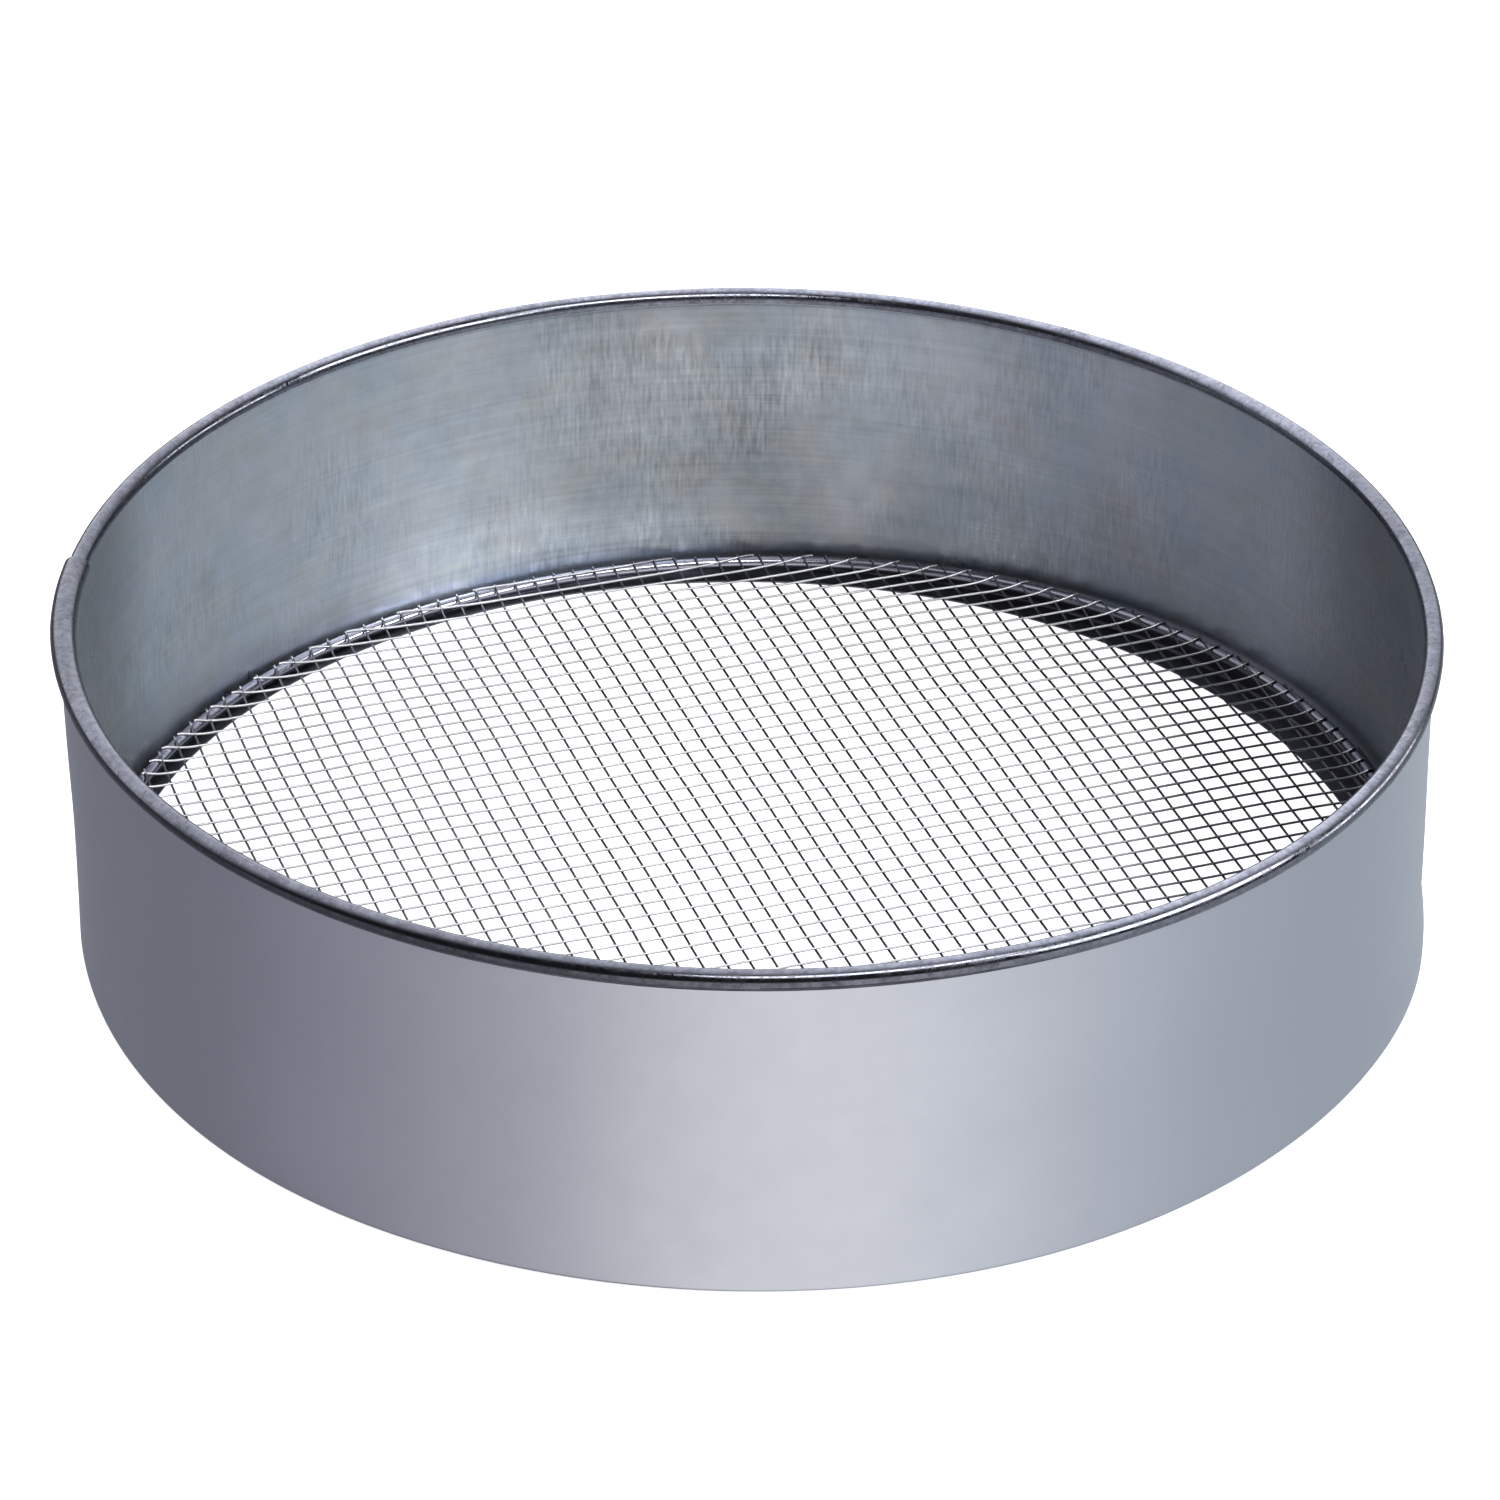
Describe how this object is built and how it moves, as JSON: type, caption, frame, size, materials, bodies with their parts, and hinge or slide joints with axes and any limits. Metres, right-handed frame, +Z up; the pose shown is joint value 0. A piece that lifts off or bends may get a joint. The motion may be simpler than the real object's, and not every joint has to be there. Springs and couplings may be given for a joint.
{
  "type": "soil sieve",
  "caption": "Round galvanised hand sieve: a sheet hoop with a rolled, wired rim and a turned-in foot that holds a flat square-mesh screen on a wire ring.",
  "frame": {"origin": "centre of the underside, on the surface the hoop stands on", "axes": "+Z up along the hoop's axis; -Y towards the viewer in the usual three-quarter view, with the hoop's lap seam near -X"},
  "size_m": [0.3708, 0.37, 0.0958],
  "materials": {
    "galvanised_sheet": "satin, galvanised, faintly mottled",
    "rim_wire_steel": "drawn, dull",
    "ring_wire_steel": "galvanised, smooth",
    "mesh_wire_steel": "galvanised, bright"
  },
  "bodies": {
    "root": {"hoop": "galvanised_sheet", "rim_wire": "rim_wire_steel", "mesh_ring": "ring_wire_steel", "wire_mesh": "mesh_wire_steel"}
  },
  "joints": []
}
